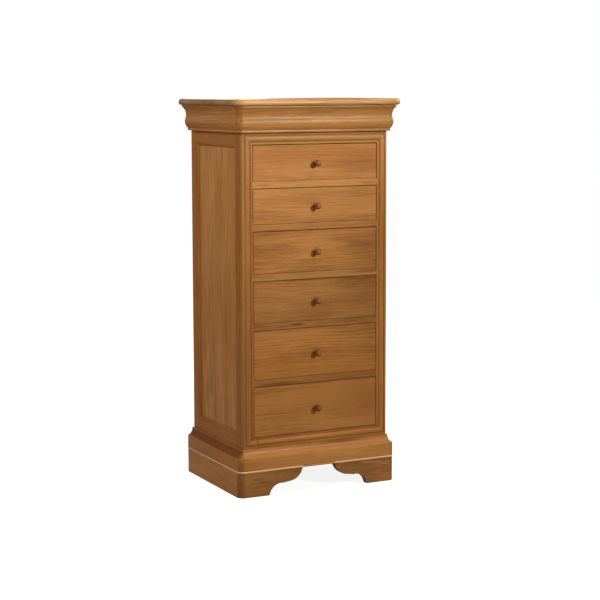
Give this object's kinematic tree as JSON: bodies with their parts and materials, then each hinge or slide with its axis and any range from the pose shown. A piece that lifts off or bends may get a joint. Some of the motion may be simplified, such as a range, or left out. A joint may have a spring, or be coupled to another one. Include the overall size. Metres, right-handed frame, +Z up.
{
  "type": "semainier",
  "caption": "Tall narrow wooden chest of drawers with a moulded face frame, turned knobs, panelled sides, bracket feet and a drawer hidden in the cornice.",
  "frame": {"origin": "on the floor, under the middle of the chest's overall box", "axes": "+Z up, -Y out of the drawer fronts, +X to the right seen from the front"},
  "size_m": [0.65, 0.478, 1.35],
  "materials": {
    "show_wood": "waxed satin, warm brown",
    "knob_wood": "turned and waxed, darker brown",
    "inner_wood": "planed, unfinished",
    "plywood": "plain, unfinished"
  },
  "bodies": {
    "case": {"top_board": "show_wood", "cornice_left": "show_wood", "cornice_right": "show_wood", "front_stile_left": "show_wood", "front_stile_right": "show_wood", "rear_stile_left": "show_wood", "rear_stile_right": "show_wood", "side_top_rail_left": "show_wood", "side_top_rail_right": "show_wood", "side_bottom_rail_left": "show_wood", "side_bottom_rail_right": "show_wood", "side_panel_left": "show_wood", "side_panel_right": "show_wood", "panel_moulding_left": "show_wood", "panel_moulding_right": "show_wood", "face_frame_left": "show_wood", "face_frame_right": "show_wood", "face_frame_top": "show_wood", "face_frame_bottom": "show_wood", "drawer_rail_1": "show_wood", "drawer_rail_2": "show_wood", "drawer_rail_3": "show_wood", "drawer_rail_4": "show_wood", "drawer_rail_5": "show_wood", "back_panel": "plywood", "base_moulding_front": "show_wood", "base_moulding_left": "show_wood", "base_moulding_right": "show_wood", "front_foot_left": "show_wood", "front_foot_right": "show_wood", "side_foot_board_left": "show_wood", "side_foot_board_right": "show_wood", "drawer_runners": "inner_wood"},
    "drawer_1": {"drawer_1_front": "show_wood", "drawer_1_sides": "inner_wood", "drawer_1_back": "inner_wood", "drawer_1_bottom": "plywood"},
    "drawer_2": {"drawer_2_front": "show_wood", "drawer_2_sides": "inner_wood", "drawer_2_back": "inner_wood", "drawer_2_bottom": "plywood"},
    "drawer_3": {"drawer_3_front": "show_wood", "drawer_3_sides": "inner_wood", "drawer_3_back": "inner_wood", "drawer_3_bottom": "plywood"},
    "drawer_4": {"drawer_4_front": "show_wood", "drawer_4_sides": "inner_wood", "drawer_4_back": "inner_wood", "drawer_4_bottom": "plywood"},
    "drawer_5": {"drawer_5_front": "show_wood", "drawer_5_sides": "inner_wood", "drawer_5_back": "inner_wood", "drawer_5_bottom": "plywood"},
    "drawer_6": {"drawer_6_front": "show_wood", "drawer_6_sides": "inner_wood", "drawer_6_back": "inner_wood", "drawer_6_bottom": "plywood"},
    "cornice_drawer": {"cornice_drawer_front": "show_wood", "cornice_drawer_box": "inner_wood", "cornice_drawer_bottom": "plywood"}
  },
  "joints": [
    {"name": "drawer_1_slide", "type": "slide", "parent": "case", "child": "drawer_1", "axis": [0, -1, 0], "range_m": [0, 0.3]},
    {"name": "drawer_2_slide", "type": "slide", "parent": "case", "child": "drawer_2", "axis": [0, -1, 0], "range_m": [0, 0.3]},
    {"name": "drawer_3_slide", "type": "slide", "parent": "case", "child": "drawer_3", "axis": [0, -1, 0], "range_m": [0, 0.3]},
    {"name": "drawer_4_slide", "type": "slide", "parent": "case", "child": "drawer_4", "axis": [0, -1, 0], "range_m": [0, 0.3]},
    {"name": "drawer_5_slide", "type": "slide", "parent": "case", "child": "drawer_5", "axis": [0, -1, 0], "range_m": [0, 0.3]},
    {"name": "drawer_6_slide", "type": "slide", "parent": "case", "child": "drawer_6", "axis": [0, -1, 0], "range_m": [0, 0.3]},
    {"name": "cornice_drawer_slide", "type": "slide", "parent": "case", "child": "cornice_drawer", "axis": [0, -1, 0], "range_m": [0, 0.3]}
  ]
}
